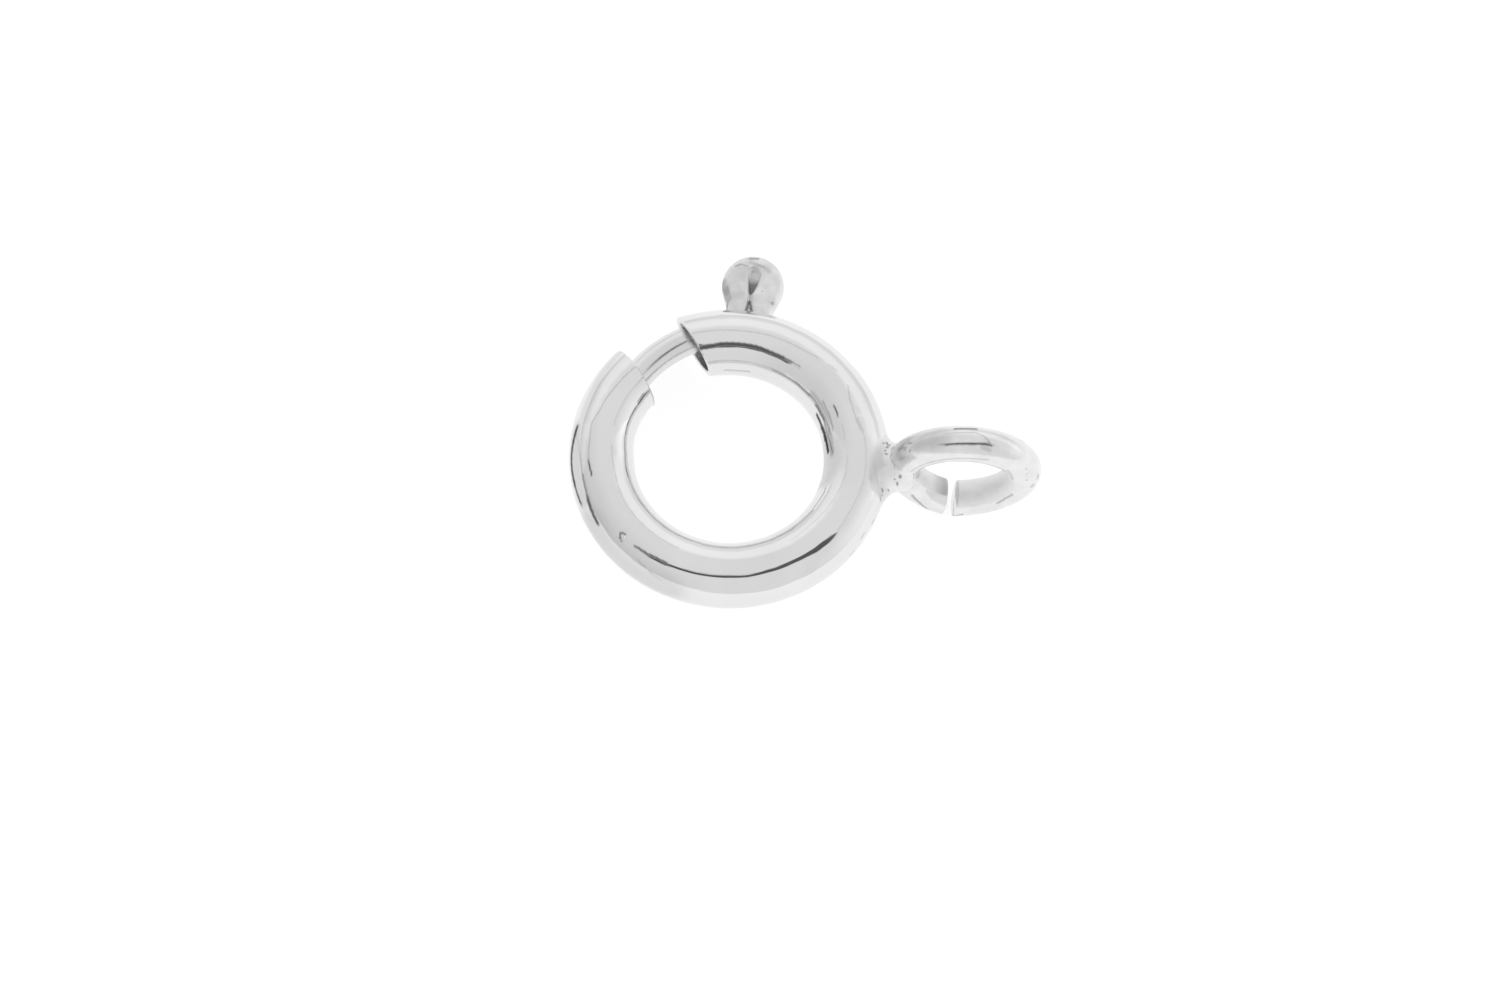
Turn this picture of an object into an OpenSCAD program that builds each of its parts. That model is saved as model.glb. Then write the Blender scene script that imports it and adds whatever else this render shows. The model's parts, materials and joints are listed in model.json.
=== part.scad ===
// Spring ring clasp: a hollow ring with a saw-cut mouth, closed by a sprung wire tongue with a thumb knob,
// and a small open jump ring soldered to its side. It lies as it comes to rest: on the low side of the
// ring's tube and on the rim of the upright jump ring. Lengths are millimetres, angles degrees.
// Angles round the ring start at the jump ring and run counter-clockwise, seen from above.

/* [Ring tube] */
// Outer diameter of the main ring
ring_od = 6; // [5.4:0.1:8]
// Diameter of the tube that the ring is bent from
tube_d = 1.23; // [1.15:0.01:1.4]
// Wall of the tube
tube_wall = 0.12; // [0.08:0.01:0.14]

/* [Mouth] */
// Direction of the mouth from the ring's centre
mouth_angle = 119.4; // [112:0.2:128]
// Width of the mouth at the middle of the tube
mouth_w = 1.26; // [0.9:0.02:1.5]
// Angle between the two saw cuts, which part outwards
mouth_splay = 7.3; // [0:0.1:12]
// How far the middle of the mouth lies beyond the ring's centre, away from the jump ring
mouth_offset = 0.175; // [0.05:0.005:0.3]

/* [Tongue] */
// Diameter of the tongue's wire
tongue_d = 0.55; // [0.45:0.01:0.6]
// How far the wire's centre line lies outside the tube's
tongue_rise = 0.045; // [0:0.005:0.06]
// Length of the tip that enters the far end of the tube
tip_reach = 0.3; // [0.1:0.02:0.5]
// Turn of the tongue round the ring that opens the mouth
open_turn = 40; // [36:1:44]
// Angle from the knob to the end of the wire's tail inside the spring
tail_turn = 35; // [15:1:50]

/* [Thumb knob] */
// Angle from the tube's cut end back to the knob
knob_setback = 23.5; // [18:0.5:28]
// Outer width of the knob's loop
knob_w = 1.16; // [1:0.02:1.3]
// Thickness of the wire in the loop
knob_wire = 0.49; // [0.42:0.01:0.5]
// Gap between the loop and the tube
knob_clear = 0.048; // [0.03:0.002:0.1]
// Half the angle of the loop's arc
loop_half = 140; // [130:1:150]
// Thickness of each leg below the loop
leg_d = 0.38; // [0.3:0.01:0.42]
// Gap between the two legs at the tube
leg_gap = 0.1; // [0.04:0.01:0.16]
// Thickness of the web that closes the eye of the loop
web_t = 0.12; // [0.06:0.01:0.2]

/* [Slot] */
// Gap between the knob's legs and the slot, all round
slot_clear = 0.11; // [0.06:0.01:0.13]
// Gap between the legs and the ends of the slot
stop_clear = 0.03; // [0.02:0.01:0.06]

/* [Spring] */
// Diameter of the spring's wire
spring_wire = 0.1; // [0.08:0.01:0.11]
// Gap between the spring and the bore
spring_clear = 0.05; // [0.04:0.005:0.06]
// Number of turns
spring_turns = 30; // [20:1:33]
// Gap between each end of the spring and what it bears on
spring_seat = 0.025; // [0.02:0.005:0.05]

/* [Crimp] */
// Angle round the ring of the dent that stops the spring
crimp_angle = 225; // [215:1:235]
// Angle of the dent round the tube's section, from the outside towards the top
crimp_lean = 56; // [40:1:90]
// Width of the dent
crimp_w = 0.2; // [0.12:0.02:0.3]
// Radius of the bump that it raises inside
bump_r = 0.3; // [0.25:0.01:0.34]

/* [Jump ring] */
// Outer diameter of the jump ring
jump_od = 2.92; // [2.5:0.02:3.6]
// Diameter of the jump ring's wire
jump_wire = 0.67; // [0.5:0.01:0.7]
// Depth to which the jump ring sits in the tube's wall
jump_sink = 0.075; // [0.06:0.005:0.1]
// Width of the jump ring's open gap
jump_gap = 0.2; // [0.1:0.02:0.3]
// Angle of the gap in the jump ring's own plane, from outwards to upwards
jump_gap_angle = 258; // [250:1:266]
// Sideways turn of the long arm towards the gap
long_skew = 5.5; // [0:0.5:8]
// Sideways turn of the short arm towards the gap
short_skew = 8; // [0:0.5:10]

/* [Solder] */
// Radius of the solder neck on the tube
neck_r = 0.5; // [0.42:0.01:0.55]
// Reach of the neck along the jump ring, beyond the tube
neck_reach = 0.3; // [0.2:0.01:0.4]
// Radius of the solder bead on each side of the neck
bead_r = 0.27; // [0.24:0.01:0.3]
// How far each bead stands out beyond the ring's outline
bead_proud = 0.095; // [0.05:0.005:0.12]
// Distance of each bead from the neck's middle
bead_side = 0.3; // [0.2:0.01:0.34]

/* [Hidden] */
$fn = 64;
over = 0.5;

ring_ro = ring_od / 2;
tube_r = tube_d / 2;
bore_r = tube_r - tube_wall;
mid_wall = tube_r - tube_wall / 2;
ring_r = ring_ro - tube_r;

// The mouth's two faces: the direction that each is square to, and how far it passes from the ring's centre
near_turn = mouth_angle - 90;
near_away = mouth_w / 2 - mouth_offset;
far_turn = near_turn + mouth_splay;
far_away = ring_r * sin(mouth_splay) - (mouth_w / 2 + mouth_offset) * cos(mouth_splay);
near_end = near_turn + acos(near_away / ring_r);
far_end = far_turn + acos(far_away / ring_r);

tongue_r = tongue_d / 2;
tongue_arc = ring_r + tongue_rise;
// The round tip is a hair thinner than the wire
tip_ease = 0.003;
tip_angle = far_end + in_degrees(tip_reach - tongue_r, tongue_arc);

knob_angle = near_end - knob_setback;
loop_r = (knob_w - knob_wire) / 2;
loop_end = [loop_r * cos(loop_half), loop_r * sin(loop_half)];
knob_arc = ring_ro + knob_clear + knob_wire / 2 - loop_end[0];
leg_side = (leg_gap + leg_d) / 2;
leg_turn = asin((leg_side + leg_d / 2) / ring_r);

slot_w = leg_d + 2 * slot_clear;
slot_turn = asin((leg_side + leg_d / 2 + stop_clear) / ring_ro);
slot_from = knob_angle - open_turn - slot_turn;
slot_to = knob_angle + slot_turn;
slot_inset = in_degrees(slot_w / 2, ring_ro);

coil_r = bore_r - spring_clear - spring_wire / 2;
seat_turn = in_degrees(spring_seat + spring_wire / 2, ring_r);
spring_from = knob_angle - leg_turn - seat_turn;
spring_to = crimp_angle - 360 + asin(bump_r / ring_r) + seat_turn;
coil_steps = 12;
wire_sides = 6;

jump_ro = jump_od / 2;
jump_wr = jump_wire / 2;
jump_r = jump_ro - jump_wr;
jump_x = ring_ro + jump_ro - jump_sink;
// The wire swells by a hair where an arm bends off, which covers the joint between the arcs
bend_gap = 0.5;
bend_swell = 0.004;

neck_from = ring_r + bore_r / 2;
neck_to = ring_ro + neck_reach;

// At rest the ring tips until its tube and the rim of the jump ring both touch the floor
rest_tilt = asin((jump_ro - tube_r) / (ring_r + jump_x));
rest_height = ring_r * sin(rest_tilt) + tube_r;
left_x = -ring_r * cos(rest_tilt) - tube_r;
right_x = jump_x * cos(rest_tilt) + jump_ro;
far_y = knob_arc * sin(knob_angle) + knob_w / 2;

function in_degrees(length, radius) = length / radius * 180 / PI;

module at_rest() {
    translate([-(left_x + right_x) / 2, (ring_ro - far_y) / 2, rest_height])
        rotate([0, -rest_tilt, 0])
            children();
}

// Round bar bent to part of a circle round Z
module bent_bar(radius, bar_r, from, to) {
    rotate([0, 0, from])
        rotate_extrude(angle = to - from)
            translate([radius, 0])
                circle(r = bar_r);
}

// Round bar between two points of the XY plane
module straight_bar(a, b, bar_r) {
    reach = b - a;
    translate([a[0], a[1], 0])
        rotate([0, 0, atan2(reach[1], reach[0])])
            rotate([0, 90, 0])
                cylinder(h = norm(reach), r = bar_r);
}

module ring_tube(section_r) {
    rotate([0, 0, mouth_angle])
        rotate_extrude()
            translate([ring_r, 0])
                rotate(180)
                    circle(r = section_r);
}

// Wedge between the mouth's two faces
module mouth_cut() {
    reach = ring_ro + over;
    near_side = mouth_offset - mouth_w / 2;
    far_side = mouth_offset + mouth_w / 2;
    rotate([0, 0, mouth_angle])
        translate([0, 0, -tube_r - over])
            linear_extrude(tube_d + 2 * over)
                polygon([
                    [0, near_side],
                    [reach, near_side],
                    [reach, far_side + (reach - ring_r) * tan(mouth_splay)],
                    [0, far_side - ring_r * tan(mouth_splay)]
                ]);
}

// Long slot with round ends through the tube's outer wall
module knob_slot() {
    rotate([0, 0, slot_from + slot_inset])
        rotate_extrude(angle = slot_to - slot_from - 2 * slot_inset)
            translate([ring_r, -slot_w / 2])
                square([tube_r + over, slot_w]);
    for (end = [slot_from + slot_inset, slot_to - slot_inset])
        rotate([0, 0, end])
            translate([ring_r, 0, 0])
                rotate([0, 90, 0])
                    cylinder(h = tube_r + over, d = slot_w);
}

// Places things on the tube's skin where the crimp is
module at_crimp(depth) {
    rotate([0, 0, crimp_angle])
        translate([ring_r, 0, 0])
            rotate([0, -crimp_lean, 0])
                translate([tube_r - depth, 0, 0])
                    children();
}

// Bump inside the tube, on which the spring bears
module crimp_bump() {
    intersection() {
        ring_tube(mid_wall);
        at_crimp(tube_wall / 2)
            sphere(r = bump_r);
    }
}

// Open ring that stands across the main ring, in the XZ plane, with its arms skewed towards the gap
module jump_ring() {
    translate([jump_x, 0, 0])
        rotate([90, 0, 0])
            difference() {
                union() {
                    bent_bar(jump_r, jump_wr, bend_gap, 180 - bend_gap);
                    jump_arm(1, jump_gap_angle - 360, -bend_gap, long_skew);
                    jump_arm(-1, 180 + bend_gap, jump_gap_angle, short_skew);
                    for (side = [-1, 1])
                        translate([side * jump_r, 0, 0])
                            sphere(r = jump_wr + bend_swell);
                }
                rotate([0, 0, jump_gap_angle])
                    translate([0, -jump_gap / 2, -jump_ro])
                        cube([jump_ro + over, jump_gap, jump_od]);
            }
}

// One lower arm, turned about the upright tangent where it leaves the upper half
module jump_arm(side, from, to, skew) {
    translate([side * jump_r, 0, 0])
        rotate([0, side * skew, 0])
            translate([-side * jump_r, 0, 0])
                bent_bar(jump_r, jump_wr, from, to);
}

// Cone of solder between the tube and the jump ring, with a bead in the groove on each side
module solder() {
    translate([neck_from, 0, 0])
        rotate([0, 90, 0])
            cylinder(h = neck_to - neck_from, r1 = neck_r, r2 = jump_wr);
    for (side = [-1, 1])
        translate([ring_ro + bead_proud - bead_r, side * bead_side, 0])
            sphere(r = bead_r);
}

module case() {
    color("silver") at_rest() {
        difference() {
            union() {
                difference() {
                    ring_tube(tube_r);
                    ring_tube(bore_r);
                }
                difference() {
                    union() {
                        solder();
                        jump_ring();
                    }
                    ring_tube(mid_wall);
                }
                crimp_bump();
            }
            mouth_cut();
            knob_slot();
            at_crimp(0)
                sphere(d = crimp_w);
        }
    }
}

module tongue() {
    color("gainsboro") at_rest() {
        bent_bar(tongue_arc, tongue_r, knob_angle - tail_turn, tip_angle);
        rotate([0, 0, tip_angle])
            translate([tongue_arc, 0, 0])
                sphere(r = tongue_r - tip_ease);
        rotate([0, 0, knob_angle])
            translate([knob_arc, 0, 0])
                thumb_knob();
    }
}

// Hairpin of wire that points outwards along X, from its loop's centre
module thumb_knob() {
    bent_bar(loop_r, knob_wire / 2, -loop_half, loop_half);
    translate([0, 0, -web_t / 2])
        cylinder(h = web_t, r = loop_r);
    for (side = [-1, 1]) {
        end = [loop_end[0], side * loop_end[1]];
        translate([end[0], end[1], 0])
            sphere(d = knob_wire);
        straight_bar([ring_r - knob_arc, side * leg_side], end, leg_d / 2);
    }
}

// Point on the spring's wire: turn counts the coils, side goes round the wire
function spring_point(turn, side) =
    let (
        place = spring_from + (spring_to - spring_from) * turn / spring_turns,
        around = 360 * turn,
        out = coil_r + spring_wire / 2 * cos(side),
        along = spring_wire / 2 * sin(side),
        rho = ring_r + out * cos(around)
    )
    [
        rho * cos(place) - along * sin(place),
        rho * sin(place) + along * cos(place),
        out * sin(around)
    ];

module spring() {
    rings = spring_turns * coil_steps;
    points = [
        for (i = [0:rings], j = [0:wire_sides - 1])
            spring_point(i / coil_steps, 360 * j / wire_sides)
    ];
    skin = [
        for (i = [0:rings - 1], j = [0:wire_sides - 1])
            let (k = (j + 1) % wire_sides, low = i * wire_sides, high = low + wire_sides)
                each [[low + j, low + k, high + k], [low + j, high + k, high + j]]
    ];
    first_cap = [for (j = [wire_sides - 1:-1:0]) j];
    last_cap = [for (j = [0:wire_sides - 1]) rings * wire_sides + j];
    color("lightsteelblue") at_rest()
        polyhedron(points = points, faces = concat(skin, [first_cap, last_cap]));
}

case();
tongue();
spring();
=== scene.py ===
import json
import math

import bpy
import numpy as np
from mathutils import Matrix, Vector


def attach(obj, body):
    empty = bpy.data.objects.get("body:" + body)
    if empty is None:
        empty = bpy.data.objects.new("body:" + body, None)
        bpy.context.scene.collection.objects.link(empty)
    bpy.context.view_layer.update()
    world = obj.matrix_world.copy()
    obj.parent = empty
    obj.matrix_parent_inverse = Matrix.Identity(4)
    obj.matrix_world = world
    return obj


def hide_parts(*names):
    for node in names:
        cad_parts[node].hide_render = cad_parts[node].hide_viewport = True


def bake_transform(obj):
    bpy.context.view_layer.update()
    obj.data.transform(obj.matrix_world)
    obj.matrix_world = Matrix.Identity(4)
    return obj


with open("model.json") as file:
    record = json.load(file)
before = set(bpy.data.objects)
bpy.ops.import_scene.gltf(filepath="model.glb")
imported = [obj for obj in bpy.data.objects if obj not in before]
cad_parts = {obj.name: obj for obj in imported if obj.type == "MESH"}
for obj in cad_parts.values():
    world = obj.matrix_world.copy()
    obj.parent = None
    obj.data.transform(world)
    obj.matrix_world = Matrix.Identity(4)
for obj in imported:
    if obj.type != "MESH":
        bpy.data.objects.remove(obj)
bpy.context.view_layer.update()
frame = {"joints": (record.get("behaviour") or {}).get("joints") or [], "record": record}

MM = 0.001
WHOLE_TURN = 360.0
HALF_TURN = 180.0

# The clasp's sizes, in millimetres and degrees, as the solids have them
RING_RO = 3.0
TUBE_R = 0.615
WALL = 0.12
BORE_R = TUBE_R - WALL
RING_R = RING_RO - TUBE_R

# The mouth's two saw cuts: each one's direction, how far it passes from the centre and how it leans
NEAR_CUT = (33.2, 0.603, 4.8)
FAR_CUT = (36.7, -0.501, 1.2)

# The tongue's visible part is bent round a centre of its own, where its angles are counted; its root and its
# tail reach from the knob into the tube by angles round the ring
TONGUE_R = 0.278
TONGUE_ARC = 2.44
TONGUE_CENTRE = (0.22, 0.2, 0.0)
TONGUE_FROM = 102.0
TONGUE_TO = 146.4
ROOT_TURN = 12.0
TAIL_TURN = 35.0
OPEN_TURN = 40.0

KNOB_ANGLE = 84.902
KNOB_W = 1.16
KNOB_WIRE_R = 0.245
KNOB_CLEAR = 0.048
LOOP_HALF = 140.0
LOOP_R = KNOB_W / 2 - KNOB_WIRE_R
LEG_R = 0.19
LEG_GAP = 0.1
LEG_SIDE = LEG_R + LEG_GAP / 2
LOOP_END = LOOP_R * np.array([math.cos(math.radians(LOOP_HALF)), math.sin(math.radians(LOOP_HALF))])
KNOB_ARC = RING_RO + KNOB_CLEAR + KNOB_WIRE_R - LOOP_END[0]
LEG_TURN = math.degrees(math.asin((LEG_SIDE + LEG_R) / RING_R))

SLOT_SIDE_CLEAR = 0.11
SLOT_END_CLEAR = 0.03
SLOT_HALF_W = LEG_R + SLOT_SIDE_CLEAR
SLOT_TURN = math.degrees(math.asin((LEG_SIDE + LEG_R + SLOT_END_CLEAR) / RING_RO))
SLOT_FROM = KNOB_ANGLE - OPEN_TURN - SLOT_TURN
SLOT_TO = KNOB_ANGLE + SLOT_TURN

CRIMP_ANGLE = 225.0
CRIMP_LEAN = 56.0
BUMP_R = 0.3

# A dent's lip stands round it: where and how wide, in radii of the dent
LIP_AT = 1.35
LIP_HALF_W = 0.3
# Dents in the tube's skin: place round the ring and the section, depth, radius and height of the lip
DENTS = [
    (CRIMP_ANGLE, CRIMP_LEAN, 0.014, 0.055, 0.002),
    (95.0, 62.0, 0.0016, 0.07, 0.0004),
    (50.0, 38.0, 0.0022, 0.05, 0.0006),
    (312.0, 20.0, 0.0018, 0.06, 0.0004),
    (168.0, 100.0, 0.0016, 0.08, 0.0),
    (18.0, 78.0, 0.002, 0.07, 0.0004),
]
# Flats left by polishing: from and to round the ring, place round the section, depth and half width
FLATS = [
    (58.0, 122.0, 112.0, 0.0092, 12.0),
    (126.0, 178.0, 180.0, 0.045, 70.0),
]
# Slight waviness of the skin: height, waves round the ring, waves round the section, phase
WAVES = [
    (0.0016, 5, 2, 0.6), (0.0012, 9, -1, 2.1), (0.0007, 17, 3, 4.0),
    (0.0005, 31, -2, 1.2), (0.00035, 53, 1, 5.1), (0.0003, 23, 7, 3.3),
]

SPRING_WIRE_R = 0.05
SPRING_TURNS = 30
SPRING_CLEAR = 0.05
SEAT_GAP = 0.025
CLOSED_TURNS = 1.2
CLOSED_PITCH = 0.45
COIL_R = BORE_R - SPRING_CLEAR - SPRING_WIRE_R
SEAT_TURN = math.degrees((SEAT_GAP + SPRING_WIRE_R) / RING_R)
SPRING_FROM = KNOB_ANGLE - LEG_TURN - SEAT_TURN
SPRING_TO = CRIMP_ANGLE - WHOLE_TURN + math.degrees(math.asin(BUMP_R / RING_R)) + SEAT_TURN

JUMP_RO = 1.46
JUMP_WR = 0.335
JUMP_R = JUMP_RO - JUMP_WR
JUMP_OVERLAP = 0.075
JUMP_X = RING_RO + JUMP_RO - JUMP_OVERLAP
JUMP_GAP = 0.2
JUMP_GAP_ANGLE = 258.0
LONG_SKEW = 5.5
SHORT_SKEW = 8.0
GAP_EASE = 0.02

# The ring's own axes in the row frame: out to the jump ring, across to the knob's side, and up its axis
joint = frame["joints"][0]
mount_at = {m["name"]: np.array(m["pos_m"]) for m in frame["record"]["mounts"]}
CENTRE = np.array(joint["pos_m"])
AXIS = np.array(joint["axis"]) / np.linalg.norm(joint["axis"])
OUTWARD = mount_at["jump_eye"] - CENTRE
OUTWARD /= np.linalg.norm(OUTWARD)
ACROSS = np.cross(AXIS, OUTWARD)
RING_AXES = np.array([OUTWARD, ACROSS, AXIS])


def to_row(points):
    """Points in the ring's own millimetres, as row-frame metres."""
    return CENTRE + np.asarray(points) @ RING_AXES * MM


def unit(v):
    """The same directions, one long."""
    return v / np.maximum(np.linalg.norm(v, axis=-1, keepdims=True), 1e-12)


def wrapped(angle):
    """The same angles, between -180 and 180 degrees."""
    return (angle + HALF_TURN) % WHOLE_TURN - HALF_TURN


def smooth(value, low, high):
    """Goes from 0 to 1 with soft ends while value goes from low to high."""
    t = np.clip((value - low) / (high - low), 0, 1)
    return t * t * (3 - 2 * t)


# Mesh helpers

def put_in_scene(name, data):
    """A new object with some data."""
    made = bpy.data.objects.new(name, data)
    bpy.context.scene.collection.objects.link(made)
    return made


def make_mesh(name, points, faces, normals=None, uv=None, painted_shading=None, matt=None):
    """A smooth object from points in ring millimetres; the rest is per point, painted shading and matt from
    0 to 1.
    """
    mesh = bpy.data.meshes.new(name)
    mesh.from_pydata(to_row(points).tolist(), [], faces)
    mesh.polygons.foreach_set("use_smooth", np.ones(len(mesh.polygons), bool))
    if uv is not None:
        corner = np.zeros(len(mesh.loops), np.int32)
        mesh.loops.foreach_get("vertex_index", corner)
        layer = mesh.uv_layers.new(name="surface")
        layer.data.foreach_set("uv", np.asarray(uv)[corner].astype(np.float32).ravel())
    for title, values in (("painted_shading", painted_shading), ("matt", matt)):
        if values is not None:
            layer = mesh.attributes.new(title, "FLOAT", "POINT")
            layer.data.foreach_set("value", np.clip(values, 0, 1).astype(np.float32))
    mesh.update()
    if normals is not None:
        mesh.normals_split_custom_set_from_vertices((unit(normals) @ RING_AXES).tolist())
    return put_in_scene(name, mesh)


def tube_point(phi, beta, radius):
    """Point of the bent tube: phi round the ring, beta round the section, from its outside to its top."""
    phi, beta = np.radians(phi), np.radians(beta)
    rho = RING_R + radius * np.cos(beta)
    return np.stack([rho * np.cos(phi), rho * np.sin(phi), radius * np.sin(beta)], -1)


def angle_at(cut, rho, height):
    """Angle round the ring where a circle of radius rho at some height meets one of the mouth's cuts."""
    direction, away, lean = cut[0], cut[1], math.radians(cut[2])
    return direction + np.degrees(np.arccos((away - height * math.sin(lean)) / (rho * math.cos(lean))))


def cut_normal(cut):
    """Normal of a cut's plane, which points towards the smaller angles round the ring."""
    turn, lean = math.radians(cut[0]), math.radians(cut[2])
    return np.array([math.cos(turn) * math.cos(lean), math.sin(turn) * math.cos(lean), math.sin(lean)])


def dent(phi, beta):
    """Height of the tube's skin over a true torus: dents with low lips, polished flats and waviness."""
    lift = 0.0
    for at_phi, at_beta, deep, width, lip in DENTS:
        along = np.radians(wrapped(phi - at_phi)) * (RING_R + TUBE_R * math.cos(math.radians(at_beta)))
        around = np.radians(wrapped(beta - at_beta)) * TUBE_R
        away = np.hypot(along, around) / width
        lift = lift - deep * np.exp(-away ** 4) + lip * np.exp(-((away - LIP_AT) / LIP_HALF_W) ** 2)
    for from_phi, to_phi, at_beta, deep, width in FLATS:
        middle, half = (from_phi + to_phi) / 2, (to_phi - from_phi) / 2
        along = wrapped(phi - middle) / half
        around = wrapped(beta - at_beta) / width
        lift = lift - deep * np.exp(-along ** 6) * np.exp(-around ** 2)
    turn, girth = np.radians(phi), np.radians(beta)
    for high, waves, leaves, start in WAVES:
        lift = lift + high * np.sin(waves * turn + leaves * girth + start)
    return lift


def tube_skin(phi, beta):
    """Point of the tube's outside."""
    return tube_point(phi, beta, TUBE_R + dent(phi, beta))


def tube_bore(phi, beta):
    """Point of the tube's inside."""
    return tube_point(phi, beta, BORE_R + 0 * phi)


class Shell:
    """Collects points with their normals and surface coordinates, and faces between rows of them."""

    def __init__(self):
        self.points, self.normals, self.uv, self.faces, self.count = [], [], [], [], 0

    def add(self, points, normals, phi, beta):
        """Takes in points and gives their indices, in the same shape."""
        shape = points.shape[:-1]
        index = np.arange(self.count, self.count + int(np.prod(shape))).reshape(shape)
        self.count += index.size
        self.points.append(points.reshape(-1, 3))
        self.normals.append(unit(normals).reshape(-1, 3))
        arc = np.radians(phi) * RING_R + 0 * beta
        girth = np.radians(beta) * TUBE_R + 0 * phi
        self.uv.append(np.stack([arc, girth], -1).reshape(-1, 2))
        return index

    def strip(self, a, b, closed, flip=False):
        """Quads between two rows of indices of the same length."""
        if closed:
            a, b = np.append(a, a[:1]), np.append(b, b[:1])
        quads = np.stack([a[:-1], a[1:], b[1:], b[:-1]], -1)
        self.faces.extend((quads[:, ::-1] if flip else quads).tolist())

    def join(self):
        """All points, faces, normals and surface coordinates."""
        return np.concatenate(self.points), self.faces, np.concatenate(self.normals), np.concatenate(self.uv)


def surface_normals(surface, phi, beta, sign):
    """Normals of a surface(phi, beta) from small steps along both ways."""
    step = 0.02
    along = surface(phi + step, beta) - surface(phi - step, beta)
    around = surface(phi, beta + step) - surface(phi, beta - step)
    return sign * unit(np.cross(along, around))


# How wide the tube's edges are eased at the slot and at the mouth
SLOT_EASE = 0.014
RIM_EASE = 0.026
# The mesh's columns run round the ring from the mouth's far cut, over the crimp, where they are finer, and
# past the jump ring to a patch round the knob's slot, and end at the near cut
COLUMNS_FROM = 150.0
CRIMP_MARGIN = 5.0
PATCH_MARGIN = 3.5
PATCH_FROM = SLOT_FROM + WHOLE_TURN - PATCH_MARGIN
PATCH_TO = SLOT_TO + WHOLE_TURN + PATCH_MARGIN
PATCH_COLUMNS = 53
PATCH_HALF_GIRTH = 46.0
RUN_IN = (np.linspace(0, 1, 12) ** 1.5)[:-1]
RUN_OUT = 1 - (np.linspace(1, 0, 10) ** 1.5)[1:]
# Its rows round the section are finer on the top half, which the camera sees
ROWS = np.concatenate([np.arange(-180, 0, 5.0), np.arange(0, 175, 1.5), [176.0]])


class Side:
    """A side of the tube's wall: its surface and radius, and a sign, 1 for the skin and -1 for the bore."""

    def __init__(self, shell, surface, radius, sign):
        self.shell, self.surface, self.radius, self.sign = shell, surface, radius, sign

    def add(self, phi, beta):
        """Adds points of this side and gives their indices."""
        normals = surface_normals(self.surface, phi, beta, self.sign)
        return self.shell.add(self.surface(phi, beta), normals, phi, beta)

    def strip(self, a, b, closed=True):
        """Quads between two rows of this side, facing away from the metal."""
        self.shell.strip(a, b, closed, self.sign > 0)


def tube_columns(side):
    """Angles of the columns between the runs up to the mouth; the last ones are the patch round the slot."""
    patch = np.linspace(PATCH_FROM, PATCH_TO, PATCH_COLUMNS)
    if side.sign < 0:
        return np.concatenate([np.linspace(COLUMNS_FROM, PATCH_FROM, 80)[:-1], patch])
    return np.concatenate([
        np.arange(COLUMNS_FROM, CRIMP_ANGLE - CRIMP_MARGIN, 1.25),
        np.arange(CRIMP_ANGLE - CRIMP_MARGIN, CRIMP_ANGLE + CRIMP_MARGIN, 0.5),
        np.linspace(CRIMP_ANGLE + CRIMP_MARGIN, PATCH_FROM, 115)[:-1],
        patch,
    ])


def tube_angles(side, columns):
    """Angles of the grid's points; the first and last columns follow the slant of the mouth's cuts."""
    rho = RING_R + side.radius * np.cos(np.radians(ROWS))
    height = side.radius * np.sin(np.radians(ROWS))
    slant = math.degrees(RIM_EASE / RING_R)
    far = angle_at(FAR_CUT, rho, height) + slant
    near = angle_at(NEAR_CUT, rho, height) + WHOLE_TURN - slant
    phi = np.concatenate([
        far + (COLUMNS_FROM - far) * RUN_IN[:, None],
        columns[:, None] + 0 * ROWS,
        PATCH_TO + (near - PATCH_TO) * RUN_OUT[:, None],
    ])
    return phi, ROWS + 0 * phi


def slot_rim(side, edge, edge_phi, edge_z):
    """Rings of points from the grid's opening in to the slot's edge, and the row below that edge."""
    middle = (SLOT_FROM + SLOT_TO) / 2 + WHOLE_TURN
    half_run = math.radians(SLOT_TO - SLOT_FROM) / 2 * RING_RO - SLOT_HALF_W
    edge_s = np.radians(edge_phi - middle) * RING_RO
    core = np.clip(edge_s, -half_run, half_run)
    way = unit(np.stack([edge_s - core, edge_z], -1))
    rim_s = core + way[:, 0] * (SLOT_HALF_W + SLOT_EASE)
    rim_z = way[:, 1] * (SLOT_HALF_W + SLOT_EASE)
    rings = []
    for t in np.linspace(0, 1, 9)[:-1] ** 1.6:
        ring_phi = middle + np.degrees(rim_s + (edge_s - rim_s) * t) / RING_RO
        ring_beta = np.degrees(np.arcsin((rim_z + (edge_z - rim_z) * t) / side.radius))
        rings.append(side.add(ring_phi, ring_beta))
    rings.append(edge)
    for a, b in zip(rings, rings[1:]):
        side.strip(a, b)
    wall_r = side.radius - side.sign * SLOT_EASE
    wall_phi = middle + np.degrees(core + way[:, 0] * SLOT_HALF_W) / RING_RO
    wall_beta = np.degrees(np.arcsin(way[:, 1] * SLOT_HALF_W / wall_r))
    turn = np.radians(wall_phi)
    inward = -np.stack([-np.sin(turn) * way[:, 0], np.cos(turn) * way[:, 0], way[:, 1]], -1)
    wall = side.shell.add(tube_point(wall_phi, wall_beta, wall_r), inward, wall_phi, wall_beta)
    side.strip(wall, rings[0])
    return wall


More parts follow.
